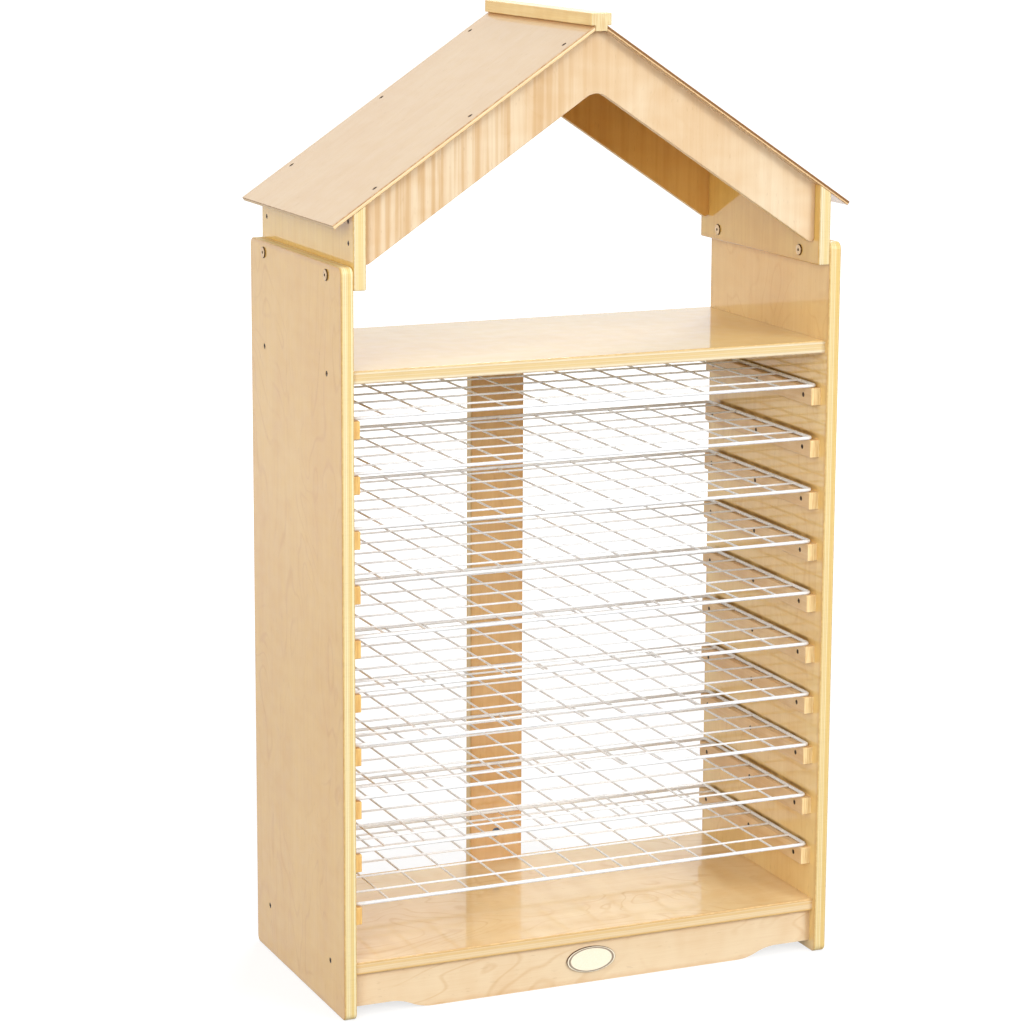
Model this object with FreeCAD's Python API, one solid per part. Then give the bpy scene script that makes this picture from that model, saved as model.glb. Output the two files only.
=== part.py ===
import FreeCAD, Part
import math
import os

# Art drying rack: a free-standing plywood cabinet with a pitched roof, whose ten loose wire
# racks rest on wooden rails and slide out at the front.
# Millimetres, +Z up. The origin is on the floor under the middle of the cabinet, and the front
# faces -Y. Right-hand pieces lie at +X, and left-hand ones mirror them.

# ---- Carcass ---------------------------------------------------------------------------------
width = 750.0                # over the outer faces of the side panels
depth = 366.0                # front edge to back edge of the side panels
panel_height = 1045.0        # side panels, from the floor
board = 18.0                 # thickness of panels, shelves, plinths, post and eave boards
panel_corner = 10.0          # rounded corners of a side panel, seen from the side
edge_round = 2.0             # softened edges of the thick boards
shelf_setback = 8.0          # shelf front behind the panels' front edge
base_rise = 62.0             # floor to the underside of the base shelf
compartment_height = 807.0   # clear height from the base shelf to the top shelf
post_width = 84.0            # back post

# ---- Plinths ---------------------------------------------------------------------------------
plinth_setback = 8.0         # front plinth behind the shelf front
plinth_lift = 14.5           # gap under a plinth's two ends
plinth_foot = 476.0          # length of the middle stretch that stands on the floor
plinth_sweep = 64.0          # length of each S curve from the foot up to the raised end

# ---- Roof ------------------------------------------------------------------------------------
roof_angle = 33.8            # degrees above level
roof_thickness = 6.0
roof_overhang = 11.8         # past the outer face of a side panel
roof_round = 1.0             # softened edges of the roof panels, gables and ridge cap
eave_overlap = 31.5          # how far an eave board reaches down inside its side panel
eave_height = 100.5          # outer face of an eave board
gable_thickness = 12.0
gable_width = 71.0           # of each sloping limb, square to the roof
gable_setback = 14.0         # from the front and the back of the roof
gable_apex_round = 26.0      # inner corner under the ridge
gable_end_round = 6.0        # lower corners at the eave boards
cap_width = 31.0             # ridge cap over the roof panels
cap_thickness = 16.5
cap_foot_width = 17.5        # ridge cap between the roof panels, where it stands on the gables
cap_corner = 3.0             # upright edges at the cap's two ends
ridge_gap = 0.4              # open joint between the cap and a roof panel

# ---- Rails -----------------------------------------------------------------------------------
rack_count = 10
rail_width = 15.0
rail_height = 25.0
rail_round = 1.2
rail_setback = 18.0          # rail front behind the panels' front edge
lowest_rail = 76.0           # base shelf to the top face of the lowest rail
highest_rail = 51.5          # top face of the highest rail to the top shelf

# ---- Wire racks ------------------------------------------------------------------------------
rack_side_gap = 4.0          # a rack that lies in the middle, to each side panel
rack_front_gap = 4.7         # its front behind the rails' front ends
rack_stop_gap = 0.3          # running gap between its back and the back post
rack_lift = 0.3              # running gap between a rack and its rails
rack_corner = 5.0            # bend of the frame wire, on its centre line
frame_wire = 5.0
mesh_wire = 3.0
mesh_pitch = 60.0
first_long_wire = 46.0       # front frame wire to the first long wire, between centre lines
weld_inset = 0.05            # mesh wires end this far inside the frame wire's skin
rack_drift = (1.5, -3.0, -2.0, -1.5, 0.0, -0.5, 2.0, 2.3, -1.0, 2.0)  # off centre, top to bottom

# ---- Plaque ----------------------------------------------------------------------------------
plaque_width = 75.0
plaque_height = 38.0
plaque_thickness = 3.0
plaque_offset = 4.0          # right of the middle of the front plinth
plaque_rise = 34.5           # its centre above the floor
plaque_round = 0.8

# ---- Fasteners -------------------------------------------------------------------------------
fit_slack = 0.05             # radial play of every fastener in its hole
screw_head = 7.0             # countersunk wood screws
screw_shank = 3.5
screw_lip = 0.5              # straight rim above the countersink
screw_sink = 0.3             # head below the wood's surface
cross_reach = 0.25           # cross recess, as shares of the head's diameter
cross_width = 0.14
rail_screw_length = 26.0
rail_screw_inset = 24.0      # from each end of a rail
gable_screw_length = 45.0
gable_screw_drop = 10.0      # below the top of an eave board's outer face
gable_screw_spacing = 29.0
roof_screw_length = 25.0
roof_screw_from_ridge = 43.0
roof_screw_from_panel = 41.0      # inwards from a side panel's inner face
shelf_screw_head = 8.0
shelf_screw_shank = 5.0
shelf_screw_length = 50.0
side_fixing_inset = 57.0     # shelf screws and eave bolts, from the front and the back
bolt_shank = 6.0
bolt_head = 16.0             # flat heads of the eave bolts, their sleeve nuts and the post bolt
bolt_head_thickness = 2.0
bolt_head_round = 1.2
hex_key = 4.0
hex_depth = 3.0
eave_bolt_length = 30.0
sleeve_diameter = 9.0
sleeve_length = 28.0
barrel_diameter = 14.0       # barrel nut in the middle of the back post
barrel_length = 15.0
barrel_slot_width = 1.6      # screwdriver slot in its front end
barrel_slot_depth = 1.5
barrel_rise = 45.0           # its centre above the base shelf
bolt_proud = 3.0             # post bolt past the barrel nut
dowel_diameter = 8.0
dowel_in_shelf = 12.0
dowel_in_board = 22.0
dowel_chamfer = 1.0
dowel_end_gap = 0.5          # glue space at each end of a dowel
plinth_dowel_spacing = 250.0
post_dowel_spacing = 56.0
ridge_dowel_diameter = 6.0
ridge_dowel_depth = 12.0     # into the cap, and into the gable

# ---- Places that follow ----------------------------------------------------------------------
Vector = FreeCAD.Vector
RIGHT = Vector(1, 0, 0)
FORWARD = Vector(0, -1, 0)
UP = Vector(0, 0, 1)
inside = width / 2 - board             # inner face of a side panel
eave_inner = inside - board            # inner face of an eave board
front = -depth / 2
back = depth / 2
shelf_front = front + shelf_setback
base_top = base_rise + board
top_shelf_bottom = base_top + compartment_height
post_front = back - board
post_middle = back - board / 2
front_plinth_front = shelf_front + plinth_setback
rear_plinth_front = post_front - board
eave_bottom = panel_height - eave_overlap
roof_turn = math.radians(roof_angle)
roof_slope = math.tan(roof_turn)
roof_plumb = roof_thickness / math.cos(roof_turn)     # of a roof panel, measured straight up
gable_middles = (front + gable_setback + gable_thickness / 2, back - gable_setback - gable_thickness / 2)
ridge_cut = cap_foot_width / 2 + ridge_gap            # plumb upper end of a roof panel
rail_front = front + rail_setback
rail_pitch = (compartment_height - lowest_rail - highest_rail) / (rack_count - 1)
rail_middle = (rail_front + post_front) / 2
rail_screw_places = (rail_front + rail_screw_inset, rail_middle, post_front - rail_screw_inset)
side_fixing_places = (front + side_fixing_inset, back - side_fixing_inset)
rack_half = inside - rack_side_gap - frame_wire / 2       # to the centre lines of the frame wire
rack_fore = rail_front + rack_front_gap + frame_wire / 2
rack_rear = post_front - rack_stop_gap - frame_wire / 2
barrel_height = base_top + barrel_rise
post_bolt_length = board + barrel_rise + barrel_diameter / 2 + bolt_proud


def roof_under(x):
    """Height of the roof's underside at a distance x from the middle."""
    return eave_bottom + eave_height + (inside - x) * roof_slope


def rail_top(level):
    """Height of a rail's top face, counted from the highest rail down."""
    return top_shelf_bottom - highest_rail - level * rail_pitch


# ---- Shapes in general -----------------------------------------------------------------------
def block(x0, x1, y0, y1, z0, z1):
    return Part.makeBox(x1 - x0, y1 - y0, z1 - z0, Vector(x0, y0, z0))


def prism(outline, y0, y1):
    """An outline of (x, z) points, carried from y0 to y1."""
    corners = [Vector(x, y0, z) for x, z in outline]
    face = Part.Face(Part.makePolygon(corners + corners[:1]))
    return face.extrude(Vector(0, y1 - y0, 0))


def turned(profile):
    """A profile of (radius, z) points, turned about Z."""
    corners = [Vector(r, 0, z) for r, z in profile]
    face = Part.Face(Part.makePolygon(corners + corners[:1]))
    return face.revolve(Vector(0, 0, 0), UP, 360)


def rod(diameter, start, end):
    return Part.makeCylinder(diameter / 2, (end - start).Length, start, end - start)


def runs_along(edge, direction):
    return isinstance(edge.Curve, Part.Line) and abs(edge.Curve.Direction.dot(direction)) > 0.999


def soften(solid, radius, wall, chosen):
    """Round the chosen edges, by no more than a wall of this thickness can take."""
    return solid.makeFillet(min(radius, wall * 0.45), [edge for edge in solid.Edges if chosen(edge)])


def mirrored(shape):
    return shape.mirror(Vector(0, 0, 0), RIGHT)


def seated(shape, place, outward):
    """A copy of a fastener made at the origin with its head facing +Z."""
    copy = shape.copy()
    copy.Placement = FreeCAD.Placement(place, FreeCAD.Rotation(UP, outward))
    return copy


def all_seated(shape, seats):
    return [seated(shape, place, outward) for place, outward in seats]


# ---- Fasteners, head up at the origin --------------------------------------------------------
def screw_outline(head, shank, length, slack, rim):
    """Countersunk screw, or its hole: slack widens it, and rim is the height of its top."""
    seat = -screw_sink - screw_lip
    neck = seat - (head - shank) / 2
    end = -screw_sink - length
    outline = [(0, rim), (head / 2 + slack, rim), (head / 2 + slack, seat), (shank / 2 + slack, neck)]
    return outline + [(shank / 2 + slack, end + shank), (0, end - slack)]


def screw(head, shank, length):
    body = turned(screw_outline(head, shank, length, 0, -screw_sink))
    reach = head * cross_reach
    half = head * cross_width / 2
    top = -screw_sink
    slot = block(-reach, reach, -half, half, top - reach, top + reach)
    return body.cut(slot.fuse(block(-half, half, -reach, reach, top - reach, top + reach)))


def screw_hole(head, shank, length):
    return turned(screw_outline(head, shank, length, fit_slack, screw_lip))


def flat_head():
    """Round flat head with a softened rim, standing on the surface at z = 0."""
    disc = Part.makeCylinder(bolt_head / 2, bolt_head_thickness)
    return soften(disc, bolt_head_round, bolt_head_thickness * 1.5,
                  lambda edge: edge.CenterOfMass.z > bolt_head_thickness / 2 and edge.Closed)


def hex_socket():
    corner = hex_key / math.sqrt(3)
    turns = [math.radians(60 * step) for step in range(7)]
    top = Vector(0, 0, bolt_head_thickness)
    outline = Part.makePolygon([top + Vector(corner * math.cos(a), corner * math.sin(a), 0) for a in turns])
    return Part.Face(outline).extrude(Vector(0, 0, -hex_depth))


def bolt(length):
    shank = rod(bolt_shank, Vector(0, 0, 0), Vector(0, 0, -length))
    return flat_head().fuse(shank).removeSplitter().cut(hex_socket())


def sleeve_nut():
    sleeve = rod(sleeve_diameter, Vector(0, 0, 0), Vector(0, 0, -sleeve_length))
    bore = rod(bolt_shank + 2 * fit_slack, Vector(0, 0, -hex_depth), Vector(0, 0, -sleeve_length))
    return flat_head().fuse(sleeve).removeSplitter().cut([hex_socket(), bore])


def barrel_nut():
    """Cross nut with its screw hole along Z, its own axis along Y, and a slot in its front end."""
    half = barrel_length / 2
    barrel = rod(barrel_diameter, Vector(0, -half, 0), Vector(0, half, 0))
    hole = rod(bolt_shank + 2 * fit_slack, UP * -barrel_diameter, UP * barrel_diameter)
    slot = block(-barrel_diameter, barrel_diameter, -barrel_length, barrel_slot_depth - half,
                 -barrel_slot_width / 2, barrel_slot_width / 2)
    return barrel.cut([hole, slot])


def dowel(diameter, below, above):
    """Wooden dowel that reaches below and above z = 0, short of its holes by the glue space."""
    bottom = dowel_end_gap - below
    top = above - dowel_end_gap
    radius = diameter / 2
    inner = radius - dowel_chamfer
    return turned([(0, bottom), (inner, bottom), (radius, bottom + dowel_chamfer),
                   (radius, top - dowel_chamfer), (inner, top), (0, top)])


def dowel_hole(diameter, below, above):
    return rod(diameter + 2 * fit_slack, Vector(0, 0, -below), Vector(0, 0, above))


# ---- Where the fasteners sit -----------------------------------------------------------------
def rail_screw_seats(level):
    height = rail_top(level) - rail_height / 2
    return [(Vector(inside - rail_width, y, height), -RIGHT) for y in rail_screw_places]


def shelf_screw_seats():
    heights = (base_rise + board / 2, top_shelf_bottom + board / 2)
    return [(Vector(width / 2, y, z), RIGHT) for y in side_fixing_places for z in heights]


def eave_bolt_places():
    return [Vector(0, y, panel_height - eave_overlap / 2) for y in side_fixing_places]


def gable_screw_seats():
    highest = eave_bottom + eave_height - gable_screw_drop
    heights = (highest - gable_screw_spacing, highest)
    return [(Vector(inside, y, z), RIGHT) for y in gable_middles for z in heights]


def roof_screw_seats():
    """Through the right roof panel, square to it, into the gables' upper edges."""
    outward = Vector(math.sin(roof_turn), 0, math.cos(roof_turn))
    last = inside - roof_screw_from_panel
    steps = (roof_screw_from_ridge, (roof_screw_from_ridge + last) / 2, last)
    return [(Vector(x, y, roof_under(x)) + outward * roof_thickness, outward)
            for x in steps for y in gable_middles]


def plinth_dowel_places():
    rows = (front_plinth_front + board / 2, rear_plinth_front + board / 2)
    return [Vector(step * plinth_dowel_spacing, y, base_rise) for step in (-1, 0, 1) for y in rows]


def post_dowel_places(height):
    return [Vector(side * post_dowel_spacing / 2, post_middle, height) for side in (-1, 1)]


def ridge_dowel_places():
    return [Vector(0, y, roof_under(cap_foot_width / 2)) for y in gable_middles]


def upright(shape, places):
    return all_seated(shape, [(place, UP) for place in places])


def hanging(shape, places):
    return all_seated(shape, [(place, -UP) for place in places])


def rail_screw_holes(levels):
    hole = screw_hole(screw_head, screw_shank, rail_screw_length)
    return [tool for level in levels for tool in all_seated(hole, rail_screw_seats(level))]


def shelf_screw_holes():
    hole = screw_hole(shelf_screw_head, shelf_screw_shank, shelf_screw_length)
    return all_seated(hole, shelf_screw_seats())


def eave_bolt_holes():
    hole = sleeve_diameter + 2 * fit_slack
    return [rod(hole, place + RIGHT * (eave_inner - board), place + RIGHT * width / 2)
            for place in eave_bolt_places()]


def gable_screw_holes():
    return all_seated(screw_hole(screw_head, screw_shank, gable_screw_length), gable_screw_seats())


def roof_screw_holes():
    return all_seated(screw_hole(screw_head, screw_shank, roof_screw_length), roof_screw_seats())


def both_sides(tools):
    return tools + [mirrored(tool) for tool in tools]


def ridge_dowel_holes():
    hole = dowel_hole(ridge_dowel_diameter, ridge_dowel_depth, ridge_dowel_depth)
    return upright(hole, ridge_dowel_places())


# ---- Carcass pieces --------------------------------------------------------------------------
def side_panel():
    panel = block(inside, width / 2, front, back, 0, panel_height)
    panel = soften(panel, panel_corner, depth, lambda edge: runs_along(edge, RIGHT))
    panel = soften(panel, edge_round, board, lambda edge: not runs_along(edge, RIGHT))
    holes = rail_screw_holes(range(rack_count)) + shelf_screw_holes() + eave_bolt_holes()
    return panel.cut(holes)


def shelf(bottom):
    """A shelf between the side panels, with its front and back edges softened."""
    plank = block(-inside, inside, shelf_front, back, bottom, bottom + board)
    plank = soften(plank, edge_round, board, lambda edge: runs_along(edge, RIGHT))
    return plank.cut(both_sides(shelf_screw_holes()))


def base_shelf():
    foot = Vector(0, post_middle, 0)
    bolt_hole = rod(bolt_shank + 2 * fit_slack, foot, foot + UP * barrel_height)
    into_shelf = dowel_hole(dowel_diameter, dowel_in_board, dowel_in_shelf)
    holes = upright(into_shelf, plinth_dowel_places()) + hanging(into_shelf, post_dowel_places(base_top))
    return shelf(base_rise).cut([bolt_hole] + holes)


def top_shelf():
    into_shelf = dowel_hole(dowel_diameter, dowel_in_board, dowel_in_shelf)
    return shelf(top_shelf_bottom).cut(upright(into_shelf, post_dowel_places(top_shelf_bottom)))


def plinth(face):
    """A plinth whose foot sweeps up to raised ends in two S curves of two equal arcs each."""
    foot = plinth_foot / 2
    middle = foot + plinth_sweep / 2
    end = foot + plinth_sweep
    radius = (plinth_sweep ** 2 / 4 + plinth_lift ** 2 / 4) / plinth_lift
    turn = math.asin(plinth_sweep / 2 / radius) / 2
    bow = radius * math.sin(turn)
    drop = radius * (1 - math.cos(turn))

    def at(x, z):
        return Vector(x, face, z)

    def half_outline(side):
        low = Part.Arc(at(side * foot, 0), at(side * (foot + bow), drop), at(side * middle, plinth_lift / 2))
        high = Part.Arc(at(side * middle, plinth_lift / 2), at(side * (end - bow), plinth_lift - drop),
                        at(side * end, plinth_lift))
        return [
            low.toShape(),
            high.toShape(),
            Part.makeLine(at(side * end, plinth_lift), at(side * inside, plinth_lift)),
            Part.makeLine(at(side * inside, plinth_lift), at(side * inside, base_rise)),
        ]

    edges = half_outline(1) + [Part.makeLine(at(inside, base_rise), at(-inside, base_rise))]
    edges += half_outline(-1) + [Part.makeLine(at(-foot, 0), at(foot, 0))]
    outline = Part.Wire(Part.__sortEdges__(edges))
    return Part.Face(outline).extrude(Vector(0, board, 0))


def dowelled_plinth(face):
    hole = dowel_hole(dowel_diameter, dowel_in_board, dowel_in_shelf)
    return plinth(face).cut(upright(hole, plinth_dowel_places()))


def back_post():
    post = block(-post_width / 2, post_width / 2, post_front, back, base_top, top_shelf_bottom)
    post = soften(post, edge_round, board, lambda edge: runs_along(edge, UP))
    into_post = dowel_hole(dowel_diameter, dowel_in_board, dowel_in_shelf)
    holes = hanging(into_post, post_dowel_places(base_top))
    holes += upright(into_post, post_dowel_places(top_shelf_bottom))
    holes.append(rod(bolt_shank + 2 * fit_slack, Vector(0, post_middle, base_rise),
                     Vector(0, post_middle, base_rise + post_bolt_length + bolt_proud)))
    nut_back = Vector(0, post_middle + barrel_length / 2, barrel_height)
    holes.append(rod(barrel_diameter + 2 * fit_slack, nut_back + FORWARD * depth, nut_back))
    return post.cut(holes)


# ---- Roof pieces -----------------------------------------------------------------------------
def eave_board():
    outline = [(eave_inner, eave_bottom), (inside, eave_bottom),
               (inside, roof_under(inside)), (eave_inner, roof_under(eave_inner))]
    plank = prism(outline, front, back)
    plank = soften(plank, edge_round, board,
                   lambda edge: edge.CenterOfMass.z < roof_under(edge.CenterOfMass.x) - edge_round)
    return plank.cut(eave_bolt_holes() + gable_screw_holes())


def gable(middle):
    """An inverted V between the eave boards, with its limbs parallel to the roof."""
    limb = gable_width / math.cos(roof_turn)
    apex = cap_foot_width / 2
    rising = [(-eave_inner, roof_under(eave_inner)), (-apex, roof_under(apex)),
              (apex, roof_under(apex)), (eave_inner, roof_under(eave_inner))]
    falling = [(eave_inner, roof_under(eave_inner) - limb), (0, roof_under(0) - limb),
               (-eave_inner, roof_under(eave_inner) - limb)]
    band = prism(rising + falling, middle - gable_thickness / 2, middle + gable_thickness / 2)

    def under(edge, share):
        """True where the edge's middle lies deeper in the limb than this share of its height."""
        centre = edge.CenterOfMass
        return centre.z < roof_under(abs(centre.x)) - limb * share

    def lowest_corner(edge):
        return runs_along(edge, FORWARD) and under(edge, 0.9)

    band = soften(band, gable_apex_round, gable_width,
                  lambda edge: lowest_corner(edge) and abs(edge.CenterOfMass.x) < apex)
    band = soften(band, gable_end_round, gable_width,
                  lambda edge: lowest_corner(edge) and abs(edge.CenterOfMass.x) > eave_inner - apex)
    band = soften(band, roof_round, gable_thickness,
                  lambda edge: not runs_along(edge, FORWARD) and under(edge, 0.6))
    return band.cut(both_sides(gable_screw_holes() + roof_screw_holes()) + ridge_dowel_holes())


def roof_panel():
    """Right-hand roof panel, plumb at its upper end and square to its faces at the eaves."""
    tip = width / 2 + roof_overhang
    lower_tip = tip - roof_thickness * math.sin(roof_turn)
    outline = [
        (ridge_cut, roof_under(ridge_cut)),
        (lower_tip, roof_under(lower_tip)),
        (tip, roof_under(tip) + roof_plumb),
        (ridge_cut, roof_under(ridge_cut) + roof_plumb),
    ]
    sheet = prism(outline, front, back)
    sheet = soften(sheet, roof_round, roof_thickness,
                   lambda edge: not (runs_along(edge, FORWARD) and edge.CenterOfMass.x < inside))
    return sheet.cut(roof_screw_holes())


def ridge_cap():
    """A bar over the upper ends of the roof panels, on a narrower foot that stands on the gables."""
    foot = cap_foot_width / 2
    half = cap_width / 2
    seat = roof_under(ridge_cut) + roof_plumb + ridge_gap
    bar = block(-half, half, front, back, seat, seat + cap_thickness)
    bar = soften(bar, cap_corner, cap_width, lambda edge: runs_along(edge, UP))
    bar = soften(bar, roof_round, cap_thickness, lambda edge: not runs_along(edge, UP))
    web = block(-foot, foot, front, back, roof_under(foot), seat + cap_thickness / 2)
    return bar.fuse(web).removeSplitter().cut(ridge_dowel_holes())


# ---- Rails and racks -------------------------------------------------------------------------
def rail(level):
    top = rail_top(level)
    bar = block(inside - rail_width, inside, rail_front, post_front, top - rail_height, top)
    bar = soften(bar, rail_round, rail_width, lambda edge: edge.CenterOfMass.x < inside - rail_round)
    return bar.cut(rail_screw_holes([level]))


def rack():
    """A wire rack at rest against the back post, with the frame wire's centre line at z = 0."""
    side = rack_half - rack_corner
    rear = rack_rear - rack_corner
    fore = rack_fore + rack_corner
    wires = []
    for y in (rack_fore, rack_rear):
        wires.append(rod(frame_wire, Vector(-side, y, 0), Vector(side, y, 0)))
    for x in (-rack_half, rack_half):
        wires.append(rod(frame_wire, Vector(x, fore, 0), Vector(x, rear, 0)))
    for quarter, (x, y) in enumerate(((side, rear), (-side, rear), (-side, fore), (side, fore))):
        corner = Part.makeTorus(rack_corner, frame_wire / 2, Vector(0, 0, 0), UP, 0, 360, 90)
        corner.rotate(Vector(0, 0, 0), UP, 90 * quarter)
        corner.translate(Vector(x, y, 0))
        wires.append(corner)
    step = (frame_wire - mesh_wire) / 2 - weld_inset
    reach = int((rack_half - mesh_pitch / 2) // mesh_pitch)
    for column in range(-reach, reach + 1):
        x = column * mesh_pitch
        wires.append(rod(mesh_wire, Vector(x, rack_fore, -step), Vector(x, rack_rear, -step)))
    rows = int((rack_rear - rack_fore - first_long_wire - frame_wire) // mesh_pitch) + 1
    for row in range(rows):
        y = rack_fore + first_long_wire + row * mesh_pitch
        wires.append(rod(mesh_wire, Vector(-rack_half, y, step), Vector(rack_half, y, step)))
    return wires[0].multiFuse(wires[1:]).removeSplitter()


def placed_rack(shape, level):
    copy = shape.copy()
    height = rail_top(level) + rack_lift + frame_wire / 2
    copy.translate(Vector(rack_drift[level % len(rack_drift)], 0, height))
    return copy


# ---- Plaque ----------------------------------------------------------------------------------
def plaque():
    """Blank oval plaque on the face of the front plinth."""
    centre = Vector(plaque_offset, front_plinth_front, plaque_rise)
    oval = Part.Ellipse(centre + RIGHT * plaque_width / 2, centre + UP * plaque_height / 2, centre)
    disc = Part.Face(Part.Wire(oval.toShape())).extrude(FORWARD * plaque_thickness)
    face = front_plinth_front - plaque_thickness
    return soften(disc, plaque_round, plaque_thickness,
                  lambda edge: abs(edge.CenterOfMass.y - face) < plaque_round)


# ---- All pieces by name ----------------------------------------------------------------------
def pieces():
    made = {
        "right_side_panel": side_panel(),
        "base_shelf": base_shelf(),
        "top_shelf": top_shelf(),
        "front_plinth": dowelled_plinth(front_plinth_front),
        "rear_plinth": dowelled_plinth(rear_plinth_front),
        "back_post": back_post(),
        "right_eave_board": eave_board(),
        "front_gable": gable(gable_middles[0]),
        "back_gable": gable(gable_middles[1]),
        "right_roof_panel": roof_panel(),
        "ridge_cap": ridge_cap(),
        "plaque": plaque(),
    }
    for name in ("side_panel", "eave_board", "roof_panel"):
        made["left_" + name] = mirrored(made["right_" + name])

    wire_rack = rack()
    for level in range(rack_count):
        number = "%02d" % (level + 1)
        made["right_rail_" + number] = rail(level)
        made["left_rail_" + number] = mirrored(made["right_rail_" + number])
        made["rack_" + number] = placed_rack(wire_rack, level)

    rail_screw = screw(screw_head, screw_shank, rail_screw_length)
    rail_seats = [seat for level in range(rack_count) for seat in rail_screw_seats(level)]
    right_screws = all_seated(rail_screw, rail_seats)
    shelf_screw = screw(shelf_screw_head, shelf_screw_shank, shelf_screw_length)
    gable_screw = screw(screw_head, screw_shank, gable_screw_length)
    roof_screw = screw(screw_head, screw_shank, roof_screw_length)
    outer_seats = [(place + RIGHT * width / 2, RIGHT) for place in eave_bolt_places()]
    inner_seats = [(place + RIGHT * eave_inner, -RIGHT) for place in eave_bolt_places()]
    post_dowel = dowel(dowel_diameter, dowel_in_board, dowel_in_shelf)
    ridge_dowel = dowel(ridge_dowel_diameter, ridge_dowel_depth, ridge_dowel_depth)
    groups = {
        "right_rail_screws": right_screws,
        "left_rail_screws": [mirrored(one) for one in right_screws],
        "shelf_screws": both_sides(all_seated(shelf_screw, shelf_screw_seats())),
        "gable_screws": both_sides(all_seated(gable_screw, gable_screw_seats())),
        "roof_screws": both_sides(all_seated(roof_screw, roof_screw_seats())),
        "eave_bolts": both_sides(all_seated(bolt(eave_bolt_length), outer_seats)),
        "eave_sleeve_nuts": both_sides(all_seated(sleeve_nut(), inner_seats)),
        "post_bolt": hanging(bolt(post_bolt_length), [Vector(0, post_middle, base_rise)]),
        "post_barrel_nut": upright(barrel_nut(), [Vector(0, post_middle, barrel_height)]),
        "plinth_dowels": upright(post_dowel, plinth_dowel_places()),
        "post_dowels": hanging(post_dowel, post_dowel_places(base_top))
        + upright(post_dowel, post_dowel_places(top_shelf_bottom)),
        "ridge_dowels": upright(ridge_dowel, ridge_dowel_places()),
    }
    for name, solids in groups.items():
        made[name] = Part.makeCompound(solids)
    return made


os.makedirs("parts", exist_ok=True)
for name, shape in pieces().items():
    shape.exportStep("parts/" + name + ".step")
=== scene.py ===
import math

import bmesh
import bpy
from mathutils import Matrix, Vector


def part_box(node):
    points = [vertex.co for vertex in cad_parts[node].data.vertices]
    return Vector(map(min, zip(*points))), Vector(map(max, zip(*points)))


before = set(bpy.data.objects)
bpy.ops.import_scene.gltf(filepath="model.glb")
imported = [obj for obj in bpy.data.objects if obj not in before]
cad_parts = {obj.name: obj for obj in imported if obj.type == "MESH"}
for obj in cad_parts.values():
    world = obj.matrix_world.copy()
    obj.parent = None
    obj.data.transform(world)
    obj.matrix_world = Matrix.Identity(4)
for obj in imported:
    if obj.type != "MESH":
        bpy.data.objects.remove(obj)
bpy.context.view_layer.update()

# The looks of an art drying rack: lacquered birch plywood, white coated wire racks and plated fittings.
# Metres, +Z up, with the origin on the floor under the middle of the cabinet, whose front faces -Y.

# ---- Boards ----------------------------------------------------------------------------------
LENGTHWISE = Vector((1, 0, 0))          # from the left side panel to the right one
INWARD = Vector((0, 1, 0))              # from the front to the back
UPRIGHT = Vector((0, 0, 1))
THICK_BOARD_PLIES = 13                  # layers of veneer in a thick board
THIN_BOARD_PLIES = 5
THIN_BOARD = 0.013                      # under this thickness a board has the thin boards' number of plies
GRAIN_RELIEF = 0.00004
BARE_WOOD_GLOSS = 0.08                  # of the wood under its lacquer
LACQUER_ROUGHNESS = 0.07
NEVER_CALM = 1000.0                     # metres across the grain, further than any board reaches
RACK_NUMBERS = ["%02d" % (level + 1) for level in range(10)]

# Repeats to the metre of the markings in veneer: across the grain, along it, and through the board.
HILLS = (7.5, 3.2, 7.5)                 # the ground that growth lines run round, as lines do on a map
ARC_BREAKS = (11.0, 4.0, 11.0)          # where the growth lines fade out and come back
STREAKS = (95.0, 2.2, 95.0)
FIBRES = (620.0, 14.0, 620.0)
CLOUDS = (9.0, 3.2, 9.0)
CURLS = (16.0, 44.0, 16.0)
FLECKS = (380.0, 75.0, 380.0)

# Painted shade: dark bands on the side panels' inner faces at each rack's height, for the shadow along the
# racks. A band's limits are metres from a rack's outline.
RACK_SHADOW_FADE = 0.004                        # height over which it comes on, and goes off above the top
RACK_SHADOW_LEAD = 0.01                         # it begins this far before the front
RACK_SHADOW_TAPER = 0.03                        # it is full from this far behind the front to as far before the back
RACK_SHADOW_FULL, RACK_SHADOW_GONE = 0.006, 0.01        # full and gone this far sideways, so that only inner faces are marked
RACK_SHADOW_STRENGTH = 0.75

# ---- Camera ----------------------------------------------------------------------------------
CAMERA_PLACE = (-1.8449, -4.1184, 1.6093)
CAMERA_YAW = math.radians(23.074)       # turned from +Y towards +X
CAMERA_PITCH = math.radians(10.882)     # below level
CAMERA_ROLL = math.radians(0.170)
CAMERA_LENS = 113.1                     # millimetres, on a sensor 36 mm wide
CAMERA_SHIFT = (0.0264, -0.0605)

# ---- Studio ----------------------------------------------------------------------------------
AMBIENT = 0.48               # strength of the light from all round
DARK_FRONT = 0.12            # how bright the room before the cabinet looks in its polished parts
FLOOR_REACH = 60.0
FLOOR_SHADE = 0.32
FLOOR_GLOW = 0.74            # what the floor adds near the cabinet, up to 1 further off
FLOOR_NEAR, FLOOR_FAR = 1.2, 4.0
DARK_SKY = (0.1, 0.8)        # cosines from straight ahead, between which the sky darkens in polished parts
DARK_FLOOR = (0.8, 3.0)      # metres before the cabinet, between which the floor does
SOFTBOXES = {                # place, what it points at, width and height, and watts
    "key": ((3.8, -6.0, 3.3), (0, 0, 0.8), (3.8, 3.8), 345),
    "overhead": ((-1.2, -1.6, 6.0), (0, 0, 0.8), (3.4, 3.4), 76),
    "front": ((-4.8, -5.6, 3.2), (0, 0, 0.7), (3.0, 3.0), 250),
    "back": ((3.2, 5.4, 5.0), (0, 0, 0.7), (2.0, 2.0), 180),
    "side": ((-7.0, 0.6, 2.4), (0, 0, 0.7), (3.0, 3.0), 40),
}


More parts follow.
